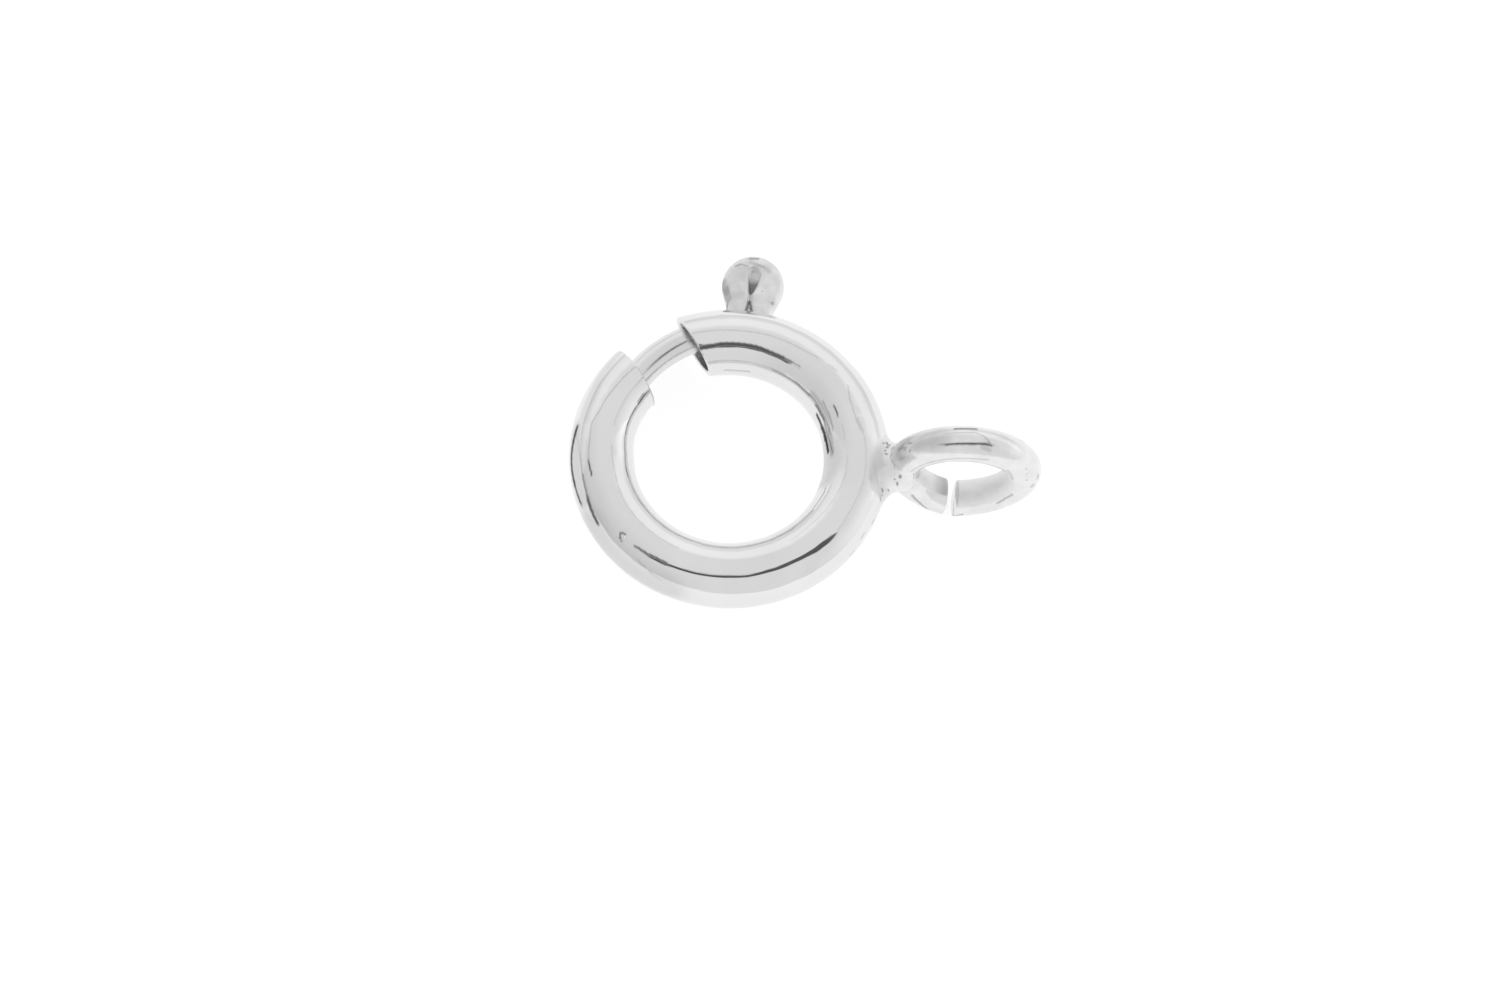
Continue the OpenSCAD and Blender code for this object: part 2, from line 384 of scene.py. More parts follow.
def mouth_rim(side, cut, row, facing):
    """The side's edge at one of the mouth's cuts, joined to the grid's last row there by an eased strip."""
    rim_r = side.radius - side.sign * RIM_EASE
    girth = np.radians(ROWS)
    rim_phi = angle_at(cut, RING_R + rim_r * np.cos(girth), rim_r * np.sin(girth))
    normal = facing * cut_normal(cut) + np.zeros((len(ROWS), 3))
    rim = side.shell.add(tube_point(rim_phi, ROWS, rim_r), normal, rim_phi, ROWS)
    side.shell.strip(row, rim, True, (facing > 0) == (side.sign < 0))
    return rim


def tube_side(shell, surface, radius, sign):
    """Adds one side of the tube's wall and gives the rows where the other side joins it."""
    side = Side(shell, surface, radius, sign)
    columns = tube_columns(side)
    phi, beta = tube_angles(side, columns)
    grid = side.add(phi, beta)
    last = len(RUN_IN) + len(columns) - 1
    first = last + 1 - PATCH_COLUMNS
    low, high = np.searchsorted(ROWS, (-PATCH_HALF_GIRTH, PATCH_HALF_GIRTH))
    for i in range(len(phi) - 1):
        if first <= i < last:
            side.strip(grid[i, high:], grid[i + 1, high:], False)
            side.strip(grid[i, :low + 1], grid[i + 1, :low + 1], False)
            side.strip(grid[i, [-1, 0]], grid[i + 1, [-1, 0]], False)
        else:
            side.strip(grid[i], grid[i + 1])
    edge = np.concatenate([
        grid[first:last, low], grid[last, low:high], grid[last:first:-1, high], grid[first, high:low:-1],
    ])
    at = np.unravel_index(edge - grid[0, 0], phi.shape)
    return {
        "wall": slot_rim(side, edge, phi[at], radius * np.sin(np.radians(beta[at]))),
        "far": mouth_rim(side, FAR_CUT, grid[0], 1.0),
        "near": mouth_rim(side, NEAR_CUT, grid[-1], -1.0),
    }


def tube_shell():
    """The hollow C-shaped tube with its saw-cut mouth, the knob's slot and the crimp, every edge eased."""
    shell = Shell()
    skin = tube_side(shell, tube_skin, TUBE_R, 1.0)
    bore = tube_side(shell, tube_bore, BORE_R, -1.0)
    for edge in ("wall", "far", "near"):
        shell.strip(skin[edge], bore[edge], True, edge == "near")
    rims = [side[end] for side in (skin, bore) for end in ("far", "near")]
    return (*shell.join(), np.concatenate(rims))


# Fields: signed distances, negative inside, for forms that flow into each other

def blend_min(a, b, soft):
    """Union of two fields with a fillet of about the width soft."""
    h = np.clip(0.5 + 0.5 * (b - a) / soft, 0, 1)
    return b + (a - b) * h - soft * h * (1 - h)


def blend_max(a, b, soft):
    """What two fields share, with a fillet of about the width soft."""
    return -blend_min(-a, -b, soft)


def torus_field(p, ring_r, bar_r):
    """Torus round Z."""
    return np.hypot(np.hypot(p[:, 0], p[:, 1]) - ring_r, p[:, 2]) - bar_r


def arc_field(p, ring_r, bar_r, low, high):
    """Bent bar round Z between two angles, with round ends; the angles span less than a whole turn."""
    middle = math.radians((low + high) / 2)
    half = math.radians(high - low) / 2
    turned = np.arctan2(p[:, 1], p[:, 0]) - middle
    turned = (turned + math.pi) % (2 * math.pi) - math.pi
    at = middle + np.clip(turned, -half, half)
    foot = np.stack([ring_r * np.cos(at), ring_r * np.sin(at), 0 * at], -1)
    return np.linalg.norm(p - foot, axis=-1) - bar_r


def bar_field(p, a, b, from_r, to_r):
    """Straight bar with round ends that tapers from one radius to the other."""
    a, b = np.array(a, float), np.array(b, float)
    reach = b - a
    t = np.clip((p - a) @ reach / (reach @ reach), 0, 1)
    return np.linalg.norm(p - a - t[:, None] * reach, axis=-1) - (from_r + (to_r - from_r) * t)


def gradient(field, p, step=0.0015):
    """The field's slope at some points, from small steps along each axis."""
    parts = []
    for k in range(3):
        away = np.zeros(3)
        away[k] = step
        parts.append(field(p + away) - field(p - away))
    return np.stack(parts, -1) / (2 * step)


def crossed_edges(value):
    """Along each axis: the grid's edges where the sign changes, where on them, and which start inside."""
    for k in range(3):
        lower, upper = [slice(None)] * 3, [slice(None)] * 3
        lower[k], upper[k] = slice(0, -1), slice(1, None)
        a, b = value[tuple(lower)], value[tuple(upper)]
        crossed = (a < 0) != (b < 0)
        at = np.argwhere(crossed)
        place = at.astype(float)
        place[:, k] += (a / np.where(a == b, 1, a - b))[crossed]
        yield k, at, place, (a < 0)[crossed]


def cell_beside(at, k, du, dv):
    """Cells that share an edge along axis k, shifted by du and dv along the two other axes."""
    home = at.copy()
    home[:, (k + 1) % 3] -= du
    home[:, (k + 2) % 3] -= dv
    return home


def field_mesh(field, low, high, cell):
    """Closed mesh of the field's zero surface: one point in each crossed cell, drawn onto the surface."""
    axes = [np.arange(l, h + cell, cell) for l, h in zip(low, high)]
    shape = tuple(len(a) for a in axes)
    grid = np.stack(np.meshgrid(*axes, indexing="ij"), -1).reshape(-1, 3)
    crossings = list(crossed_edges(field(grid).reshape(shape)))
    cells = tuple(n - 1 for n in shape)
    total = np.zeros(cells + (3,))
    count = np.zeros(cells, int)
    for k, at, place, _ in crossings:
        for du, dv in ((0, 0), (0, 1), (1, 0), (1, 1)):
            home = cell_beside(at, k, du, dv)
            ok = (home >= 0).all(1) & (home < np.array(cells)).all(1)
            np.add.at(total, tuple(home[ok].T), place[ok])
            np.add.at(count, tuple(home[ok].T), 1)
    used = count > 0
    index = np.full(cells, -1)
    index[used] = np.arange(used.sum())
    points = np.array(low) + total[used] / count[used][:, None] * cell
    for _ in range(4):
        g = gradient(field, points)
        points = points - field(points)[:, None] * g / np.maximum((g * g).sum(-1, keepdims=True), 0.05)
    quads = []
    for k, at, _, inside in crossings:
        around = [cell_beside(at, k, du, dv) for du, dv in ((0, 0), (1, 0), (1, 1), (0, 1))]
        quad = np.stack([index[tuple(home.T)] for home in around], -1)
        if quad.min() < 0:
            raise ValueError("the surface leaves its box")
        quads.append(np.where(inside[:, None], quad, quad[:, ::-1]))
    return points, np.concatenate(quads).tolist(), unit(gradient(field, points))


def turn_about(p, pivot_x, degrees):
    """Turns points about the upright line through (pivot_x, 0), in the jump ring's own axes."""
    c, s = math.cos(math.radians(degrees)), math.sin(math.radians(degrees))
    x = p[:, 0] - pivot_x
    return np.stack([pivot_x + c * x - s * p[:, 2], p[:, 1], s * x + c * p[:, 2]], -1)


def own_jump(p):
    """Points in the jump ring's own axes: along X, up, and towards the side away from the knob."""
    return np.stack([p[:, 0] - JUMP_X, p[:, 2], -p[:, 1]], -1)


def jump_field(p):
    """The open jump ring, in the XZ plane of the ring frame, with both lower arms skewed sideways."""
    own = own_jump(p)
    whole = torus_field(own, JUMP_R, JUMP_WR)
    long_arm = torus_field(turn_about(own, JUMP_R, LONG_SKEW), JUMP_R, JUMP_WR)
    short_arm = torus_field(turn_about(own, -JUMP_R, -SHORT_SKEW), JUMP_R, JUMP_WR)
    gap = math.radians(JUMP_GAP_ANGLE)
    along = np.array([math.cos(gap), math.sin(gap)])
    past = own[:, 0] * along[1] - own[:, 1] * along[0]
    lower = np.where(past > 0, short_arm, long_arm)
    body = np.where(own[:, 1] > 0, whole, lower)
    slab = np.abs(past) - JUMP_GAP / 2
    open_side = own[:, :2] @ along > 0
    return np.where(open_side, blend_max(body, -slab, GAP_EASE), body)


# The neck's core, flattened from above, which sags a little to the side away from the knob
NECK_FROM, NECK_FROM_R = (2.75, -0.12, 0.0), 0.44
NECK_TO, NECK_TO_R = (3.14, -0.11, 0.0), 0.35
NECK_FLATTENED = 1.25
# Fillets from the neck's core to the jump ring and from both to the tube
JUMP_FILLET = 0.28
TUBE_FILLET = 0.36
# The solder is a little rough up to this distance from the ring's centre, where it fades out
ROUGH_TO = 3.5
ROUGH_FADE = 0.25
ROUGH_HEIGHT = 0.003
# Over the tube it spreads round this middle, sinks into the skin towards its border and ends there
SPREAD_Y = -0.1
SPREAD_NARROWED = 1.9
SPREAD_SINKS_FROM = 0.62
SPREAD_R = 1.02
SPREAD_TO = RING_RO + 0.45
SINK_TO = RING_RO + 0.1
SINK = 0.004
SINK_AT_BORDER = 0.035
# What stands more than this off the jump ring looks like solder
SOLDER_FROM = 0.008
# Small pits in the top of the solder: place from above and radius
PIT_DEPTH = 0.01
SOLDER_PITS = [
    (2.93, 0.28, 0.024), (2.875, 0.27, 0.018), (2.95, 0.21, 0.018), (2.93, 0.17, 0.022), (2.99, 0.25, 0.018),
    (2.94, 0.03, 0.02), (2.91, 0.1, 0.014), (3.05, -0.6, 0.016), (3.1, -0.4, 0.012), (3.16, -0.45, 0.018),
    (3.09, -0.57, 0.02), (2.86, -0.7, 0.024), (2.87, -0.63, 0.022), (3.0, -0.57, 0.012), (3.2, -0.36, 0.018),
]


def solder_pits(p):
    """The pits in the solder, 1 in their middles and 0 outside."""
    pitted = np.zeros(len(p))
    ragged = 0.4 * np.sin(63 * p[:, 0] + 17 * p[:, 1]) + 0.3 * np.sin(85 * p[:, 1])
    for x, y, radius in SOLDER_PITS:
        away = np.hypot(p[:, 0] - x, p[:, 1] - y) / radius
        pitted = np.maximum(pitted, np.clip(1.5 - away + ragged, 0, 1) * (away < 2))
    return pitted * (p[:, 2] > 0)


def solder_roughness(p):
    """Slight lumps of the solder, which fade out on the jump ring."""
    near = np.clip((ROUGH_TO - p[:, 0]) / ROUGH_FADE, 0, 1)
    lumps = np.sin(11 * p[:, 1] + 1.1) * np.sin(13 * p[:, 2] + 0.4)
    return ROUGH_HEIGHT * near * (lumps + 0.4 * np.sin(23 * p[:, 1] + 19 * p[:, 0]))


def solder_field(p):
    """The jump ring with its neck of solder, which runs out over the tube and ends inside its wall."""
    jump = jump_field(p)
    tube = torus_field(p, RING_R, TUBE_R)
    core = bar_field(p * [1, 1, NECK_FLATTENED], NECK_FROM, NECK_TO, NECK_FROM_R, NECK_TO_R)
    neck = blend_min(blend_min(jump, core, JUMP_FILLET), tube, TUBE_FILLET)
    neck = neck + PIT_DEPTH * solder_pits(p)
    neck = neck + solder_roughness(p)
    spread = np.hypot(p[:, 1] - SPREAD_Y, p[:, 2] * SPREAD_NARROWED)
    to_border = np.clip((spread - SPREAD_SINKS_FROM) / (1 - SPREAD_SINKS_FROM), 0, 1)
    neck = neck + np.where(p[:, 0] < SINK_TO, SINK + SINK_AT_BORDER * to_border ** 2, 0)
    reach = blend_max(spread - SPREAD_R, p[:, 0] - SPREAD_TO, 0.02)
    neck = np.minimum(np.maximum(neck, reach), jump)
    return np.maximum(neck, -torus_field(p, RING_R, TUBE_R - WALL / 2))


# The knob's openings from above, in its own millimetres: outwards, sideways and radius. They are the eye,
# the crease where the two halves touch, and the wedge between the legs.
KNOB_OPENINGS = [
    (0.19, -0.007, 0.07), (0.01, 0.001, 0.052), (-0.11, 0.016, 0.024), (-0.185, 0.024, 0.004),
    (-0.38, 0.022, 0.003), (-0.57, 0.01, 0.043), (-1.2, 0.0, 0.05),
]
# Height of the metal that closes the eye and the crease, by the place outwards: deep at the teardrop's point
KNOB_FLOOR = [
    (-0.5, 0.04), (-0.38, 0.08), (-0.34, 0.13), (-0.22, 0.13), (-0.17, 0.05),
    (-0.06, 0.02), (0.02, 0.05), (0.12, 0.12), (0.24, 0.14), (0.3, 0.17),
]
KNOB_FLOOR_BOTTOM = 0.15
KNOB_FLOOR_MIDDLE = -0.06
KNOB_FLOOR_R = 0.47
# How flat the hairpin's wire is pressed: the power of its section's rounding, 2 being an ellipse
KNOB_SQUARED = 2.8
# Seen from above it is a disc, a little longer outwards than wide, with a fillet to its legs
DISC_STRETCH = 1.03
SHOULDER_FILLET = 0.14
# A dimple in the knob's left shoulder
DIMPLE_FROM = (-0.03, 0.61, 0.14)
DIMPLE_TO = (-0.36, 0.49, 0.14)
DIMPLE_R = 0.07


def knob_axes():
    """Directions of the knob's own axes: outwards, sideways and up."""
    turn = math.radians(KNOB_ANGLE)
    return np.array([[math.cos(turn), math.sin(turn), 0], [-math.sin(turn), math.cos(turn), 0], [0, 0, 1]])


def knob_openings(flat):
    """Field of the knob's openings, the same at every height."""
    parts = []
    for (x1, y1, r1), (x2, y2, r2) in zip(KNOB_OPENINGS, KNOB_OPENINGS[1:]):
        parts.append(bar_field(flat, (x1, y1, 0), (x2, y2, 0), r1, r2))
    return np.minimum.reduce(parts)


def knob_lobes(own, outside, inside):
    """The pressed wire between the knob's outline and its openings, thinnest near their borders."""
    wide = np.maximum(-outside - inside, 0.02)
    across = (outside - inside) / wide
    thick = LEG_R + 0.015 * np.clip((own[:, 0] + 0.5) / 0.3, 0, 1)
    pressed = 0.012 * np.clip(1 - np.hypot(own[:, 0] / 0.3, (own[:, 1] - 0.3) / 0.2), 0, 1)
    bulge = np.abs(across) ** KNOB_SQUARED + np.abs(own[:, 2] / (thick - pressed)) ** KNOB_SQUARED
    return (bulge ** (1 / KNOB_SQUARED) - 1) * np.minimum(wide / 2, thick)


def knob_field(own):
    """The thumb knob: a hairpin pressed flat round a teardrop eye, over two legs that part lower down."""
    flat = own * [1, 1, 0]
    disc = np.hypot(flat[:, 0] / DISC_STRETCH, flat[:, 1]) - KNOB_W / 2
    legs = np.maximum(np.abs(flat[:, 1]) - LEG_SIDE - LEG_R, flat[:, 0])
    lobes = knob_lobes(own, blend_min(disc, legs, SHOULDER_FILLET), -knob_openings(flat))
    top = np.interp(own[:, 0], *zip(*KNOB_FLOOR))
    eye_floor = np.maximum(own[:, 2] - top, -KNOB_FLOOR_BOTTOM - own[:, 2])
    eye_floor = np.maximum(eye_floor, np.hypot(own[:, 0] - KNOB_FLOOR_MIDDLE, own[:, 1]) - KNOB_FLOOR_R)
    dimple = bar_field(own, DIMPLE_FROM, DIMPLE_TO, DIMPLE_R, DIMPLE_R)
    return blend_max(blend_min(lobes, eye_floor, 0.02), -dimple, 0.04)


def own_knob(p):
    """Points in the knob's own axes: outwards, sideways and up from the loop's centre."""
    return p @ knob_axes().T - np.array([KNOB_ARC, 0, 0])


def wire_field(p):
    """The bent wire inside the tube and across the mouth: tongue with its round tip, and tail."""
    half = math.degrees(LEG_SIDE / RING_R)
    tongue = arc_field(p - TONGUE_CENTRE, TONGUE_ARC, TONGUE_R, TONGUE_FROM, TONGUE_TO)
    root = arc_field(p, TONGUE_ARC, TONGUE_R, KNOB_ANGLE + half, KNOB_ANGLE + ROOT_TURN)
    tail = arc_field(p, RING_R, TONGUE_R, KNOB_ANGLE - TAIL_TURN, KNOB_ANGLE - half)
    return np.minimum(blend_min(tongue, root, 0.06), tail)


def hairpin_field(p):
    """The knob with its legs, which end inside the wire."""
    own = own_knob(p)
    return blend_max(knob_field(own), RING_R - KNOB_ARC - own[:, 0], 0.01)


def spring_mesh():
    """The coil spring along the tube's bore, with its last turns closed up."""
    steps, sides = 24, 8
    turn = np.arange(SPRING_TURNS * steps + 1) / steps
    closed = (turn < CLOSED_TURNS) | (turn > SPRING_TURNS - CLOSED_TURNS)
    pitch = np.where(closed, CLOSED_PITCH, 1.0)
    place = np.concatenate([[0], np.cumsum((pitch[1:] + pitch[:-1]) / 2)])
    place = SPRING_FROM + (SPRING_TO - SPRING_FROM) * place / place[-1]
    side = 2 * math.pi * np.arange(sides) / sides
    around = 2 * math.pi * turn[:, None]
    out = COIL_R + SPRING_WIRE_R * np.cos(side)
    along = SPRING_WIRE_R * np.sin(side)
    rho = RING_R + out * np.cos(around)
    at = np.radians(place)[:, None]
    x = rho * np.cos(at) - along * np.sin(at)
    y = rho * np.sin(at) + along * np.cos(at)
    points = np.stack([x, y, out * np.sin(around)], -1)
    rows = len(turn)
    i, j = np.meshgrid(np.arange(rows - 1), np.arange(sides), indexing="ij")
    k = (j + 1) % sides
    quads = np.stack([i * sides + j, i * sides + k, (i + 1) * sides + k, (i + 1) * sides + j], -1)
    faces = quads.reshape(-1, 4).tolist()
    faces.append(list(range(sides))[::-1])
    faces.append([(rows - 1) * sides + n for n in range(sides)])
    return points.reshape(-1, 3), faces


# Painted reflections: dark streaks on the ring's skin that stand for dark things mirrored in it. Half width,
# strength, and their line's places round the ring and the section
TUBE_DARK_REFLECTIONS = [
    (0.033, 0.86, [
        (107, 118.3), (101, 118.5), (96, 117.2), (91, 116.8), (84, 116.7), (78, 117.2), (73, 119),
    ]),
    (0.033, 0.82, [(73, 119), (68, 119.5), (63, 118.8)]),
    (0.024, 0.6, [(63, 118.8), (58, 117.3)]),
    (0.014, 0.4, [(58, 117.3), (53, 116.4)]),
    (0.01, 0.22, [(109, 90), (103, 90.7), (95, 92), (85, 92), (74, 91), (65, 89.8), (55, 88), (49, 84)]),
    (0.012, 0.25, [(44, 80), (39.7, 76)]),
    (0.012, 0.5, [(66, 148), (55, 146.6), (47, 146.6), (40, 146)]),
    (0.022, 0.3, [(95, 171), (87, 171.5), (80, 169.5)]),
    (0.042, 0.97, [(173, 35), (178, 29), (183, 23), (189, 20.6), (195, 21)]),
    (0.03, 0.9, [(195, 21), (203, 22)]),
    (0.018, 0.35, [(173, 32), (181, 45.7), (187, 49), (193, 48)]),
    (0.022, 0.6, [(193, 48), (200, 45.7), (206, 41.3)]),
    (0.034, 0.86, [(203, 43.5), (206, 41.3), (213.4, 37)]),
    (0.016, 0.85, [(189, 64.8), (195, 65.4)]),
    (0.01, 0.3, [(140, 90.5), (147, 87.4), (155, 83), (166, 76.7), (172, 67.5), (180, 68), (188, 65)]),
    (0.11, 0.15, [(138, 37), (148, 42), (159, 49), (170, 48)]),
    (0.15, 0.22, [(174, 36), (187, 35), (202, 31)]),
    (0.27, 0.17, [(212, 24), (222, 14), (238, 12), (248, 18)]),
    (0.02, 0.25, [(142.9, 139), (147.5, 137), (153, 135)]),
    (0.014, 0.12, [(143, 114), (153, 111), (162, 110), (171, 107.4)]),
    (0.011, 0.18, [(182, 107.6), (190, 107.4), (201, 105), (209, 102), (215, 100), (231, 99), (248, 97.6)]),
    (0.015, 0.7, [(225, 65), (223, 60.7), (224, 53.8)]),
    (0.018, 0.5, [(224, 53.8), (225.6, 51)]),
    (0.02, 0.7, [(231, 60.7), (236, 62), (240, 63.7)]),
    (0.017, 0.75, [(240, 63.7), (246, 64.9)]),
    (0.014, 0.3, [(235, 42.5), (239, 39.5)]),
    (0.014, 0.3, [(241, 34.7), (246.5, 31)]),
    (0.014, 0.3, [(207, 23), (213, 30.5)]),
    (0.055, 0.24, [(39, 138), (31, 138), (18, 139.7), (6, 141.7), (0, 140)]),
    (0.024, 0.7, [(33, 145), (28, 145.4), (22, 144.7)]),
    (0.02, 0.55, [(22, 144.7), (16, 148), (10, 145.6), (1.4, 139.5)]),
    (0.032, 0.95, [(28, 156), (20, 157)]),
    (0.05, 0.97, [(20, 157), (11, 155)]),
    (0.036, 0.95, [(11, 155), (3, 151.6)]),
    (0.014, 0.4, [(32, 129), (26, 130), (20, 130), (14, 132)]),
    (0.015, 0.8, [(25.5, 114.8), (20, 115)]),
    (0.011, 0.25, [(32, 75), (25, 85), (19, 86), (15, 85)]),
    (0.03, 0.22, [(15, 85), (10, 79.5)]),
    (0.012, 0.14, [(10, 79.5), (5, 76), (-2, 74), (-8, 72), (-15, 70), (-28, 70), (-38, 66)]),
    (0.012, 0.14, [(14, 111), (6, 113)]),
    (0.012, 0.12, [(-2, 107.5), (-13, 104), (-27, 105.7), (-45, 108), (-57, 105)]),
    (0.02, 0.35, [(-23, 9), (-25, 10)]),
    (0.02, 0.35, [(-30.5, 16), (-31.5, 15)]),
    (0.02, 0.35, [(-37, 3.6), (-38.5, 4)]),
]
# Painted shade and painted reflections on the jump ring, as dark lines, patches and a few spots: from and
# to, by the turns round the ring and its wire, half width and strength
JUMP_SHADE_AND_REFLECTIONS = [
    (98, -31, 82, -35, 0.025, 0.65), (154, 96, 123, 86, 0.013, 0.3), (123, 86, 94, 80, 0.013, 0.35),
    (94, 80, 69, 73, 0.013, 0.3), (-150, 97, -134, 89, 0.022, 0.45), (-134, 89, -121, 76, 0.02, 0.5),
    (-49, 108, -37, 112, 0.018, 0.42), (-37, 112, -22, 109, 0.018, 0.42),
    (-97, 78, -89, 88, 0.022, 0.55), (147, 5, 143, 3, 0.035, 0.45),
    (141, 2, 112, -6, 0.19, 0.2), (42, 96, 14, 124, 0.03, 0.2), (146, 0, 142, -7, 0.03, 0.35),
    (141, 14, 139, 10, 0.025, 0.4), (136, 0, 133, 0, 0.02, 0.5), (136, 26, 135, 22, 0.02, 0.45),
    (105, 26.8, 97, 24.9, 0.013, 0.8), (97, 24.9, 82, 21.8, 0.014, 0.88),
    (82, 21.8, 74.6, 19.5, 0.014, 0.88), (74.6, 19.5, 70, 21.3, 0.014, 0.8),
    (105, -10.4, 97, -12.8, 0.012, 0.25),
    (97, -12.8, 82.5, -16, 0.012, 0.25), (82.5, -16, 75.7, -4.7, 0.012, 0.28),
    (75.7, -4.7, 71.6, 12.9, 0.014, 0.3), (76, 32, 71.5, 35.6, 0.04, 0.2),
    (41.5, -40.5, 38, -38, 0.02, 0.3), (8.7, 31, 5, 36, 0.03, 0.35), (-0.7, 56, -3, 60, 0.035, 0.35),
    (14.4, 74.6, 13, 73, 0.015, 0.3), (30, 52, 29, 50, 0.012, 0.25), (24, 60, 23, 62, 0.012, 0.25),
]
# Painted shade on the knob, round its eye, in its dimple and along its outline, and a few dark spots, seen
# from above, in its own millimetres: from and to, half width and strength
KNOB_SHADE_AND_SPOTS = [
    (0.3, 0.37, 0.35, 0.28, 0.02, 0.36), (0.35, 0.28, 0.33, 0.14, 0.016, 0.3),
    (0.49, 0.12, 0.51, -0.03, 0.022, 0.42), (0.41, 0.1, 0.39, -0.02, 0.028, 0.22),
    (0.39, -0.02, 0.35, -0.16, 0.022, 0.3), (0.33, -0.19, 0.27, -0.28, 0.035, 0.16),
    (0.0, 0.56, -0.16, 0.52, 0.05, 0.38), (-0.16, 0.49, -0.25, 0.46, 0.05, 0.45),
    (0.31, 0.01, 0.25, -0.04, 0.05, 0.2), (0.26, 0.045, 0.0, 0.045, 0.014, 0.3),
    (-0.25, 0.46, -0.36, 0.42, 0.055, 0.34), (-0.38, 0.42, -0.6, 0.43, 0.016, 0.5),
    (-0.153, -0.187, -0.153, -0.18, 0.014, 0.3), (-0.34, -0.42, -0.36, -0.41, 0.022, 0.35),
]


def darkness(u, v, table, u_size=1.0, v_size=1.0):
    """How dark the marks of a table make each point (u, v); the two sizes turn u and v into millimetres."""
    shade = np.zeros(len(u))
    for u0, v0, u1, v1, half, strength in table:
        reach = np.array([(u1 - u0) * u_size, (v1 - v0) * v_size])
        at = np.stack([(u - u0) * u_size, (v - v0) * v_size], -1)
        t = np.clip(at @ reach / (reach @ reach), 0, 1)
        away = np.linalg.norm(at - t[:, None] * reach, axis=-1)
        shade = np.maximum(shade, strength * np.clip(1.6 - away / half, 0, 1))
    return shade


def tube_painted_reflections(points, uv):
    """Painted reflections on the ring's skin: its dark streaks, a little ragged; the bore has none."""
    phi = (np.degrees(uv[:, 0] / RING_R) + 90) % WHOLE_TURN - 90
    beta = np.degrees(uv[:, 1] / TUBE_R)
    ragged = beta + 0.5 * np.sin(2.1 * phi) + 0.35 * np.sin(5.3 * phi + 1)
    rows = []
    for half, strength, line in TUBE_DARK_REFLECTIONS:
        rows += [(*a, *b, half, strength) for a, b in zip(line, line[1:])]
    shade = darkness(phi, ragged, rows, math.radians(RING_R), math.radians(TUBE_R))
    return shade * (torus_field(points, RING_R, TUBE_R) > -0.06)


def dulled_by_heat(p):
    """How far the soldering took the polish off the tube beside the neck: 0 to 1."""
    away = np.hypot((p[:, 1] + 0.15) / 0.65, np.maximum(np.abs(p[:, 2]) - 0.3, 0) / 0.34)
    return smooth(away, 1.1, 0.6) * (p[:, 0] > 0)


def jump_angles(p):
    """The turn round the jump ring and the turn round its wire, counted from its outside."""
    own = own_jump(p)
    away = np.hypot(own[:, 0], own[:, 1])
    turn = np.degrees(np.arctan2(own[:, 1], own[:, 0]))
    return turn, np.degrees(np.arctan2(own[:, 2], away - JUMP_R))


def inner_flank(p):
    """Where the jump ring's lower arms face its eye, which nobody polished, and which painted shade darkens:
    0 to 1.
    """
    turn, psi = jump_angles(p)
    edge = np.where(turn < JUMP_GAP_ANGLE - WHOLE_TURN, 142, 117)
    return smooth(np.abs(psi), edge - 3, edge + 3) * smooth(turn, 50, 20) * smooth(turn, -178, -165)


def jump_painted_shade(p):
    """Painted shade on the jump ring: darker inner flanks of its lower arms, darker solder pits, and short
    dark lines of painted shade and reflection.
    """
    turn, psi = jump_angles(p)
    gap = JUMP_GAP_ANGLE - WHOLE_TURN
    # Painted shade on the inner flanks that face the eye, darkest just before the gap
    flank_shade = inner_flank(p)
    flank_shade = flank_shade * (0.04 + 0.28 * np.clip(1 - np.abs(turn - gap + 12) / 20, 0, 1))
    shade = np.maximum(flank_shade, darkness(turn, psi, JUMP_SHADE_AND_REFLECTIONS, math.radians(JUMP_R), math.radians(JUMP_WR)))
    # Painted shade in the solder's pits
    return np.maximum(shade, 0.5 * solder_pits(p))


def knob_painted_shade(own):
    """Darkening of the knob: painted shade on the eye's floor, darker the deeper it lies, and in the crease;
    the top of the left lobe a little darker; and its dark lines.
    """
    hole = knob_openings(own * [1, 1, 0])
    # Painted shade: the eye's floor darker the deeper it lies, and the crease where the halves touch
    in_eye = np.clip(1.4 - hole / 0.02, 0, 1) * smooth(own[:, 0], -0.26, -0.2)
    deep = smooth(own[:, 2], 0.11, 0.04)
    touching = 0.5 * smooth(own[:, 0], -0.42, -0.38)
    crease = touching * np.clip(1.5 - np.abs(hole) / 0.01, 0, 1) * smooth(own[:, 0], -0.16, -0.2)
    # The top of the left lobe a little darker
    left_lobe = 0.09 * smooth(own[:, 1], 0.02, 0.06) * smooth(own[:, 0], 0.33, 0.3) * (own[:, 2] > 0)
    shade = np.maximum(in_eye * (0.2 + 0.4 * deep), np.maximum(crease, left_lobe))
    return np.maximum(shade, darkness(own[:, 0], own[:, 1], KNOB_SHADE_AND_SPOTS) * (own[:, 2] > 0))


# Materials

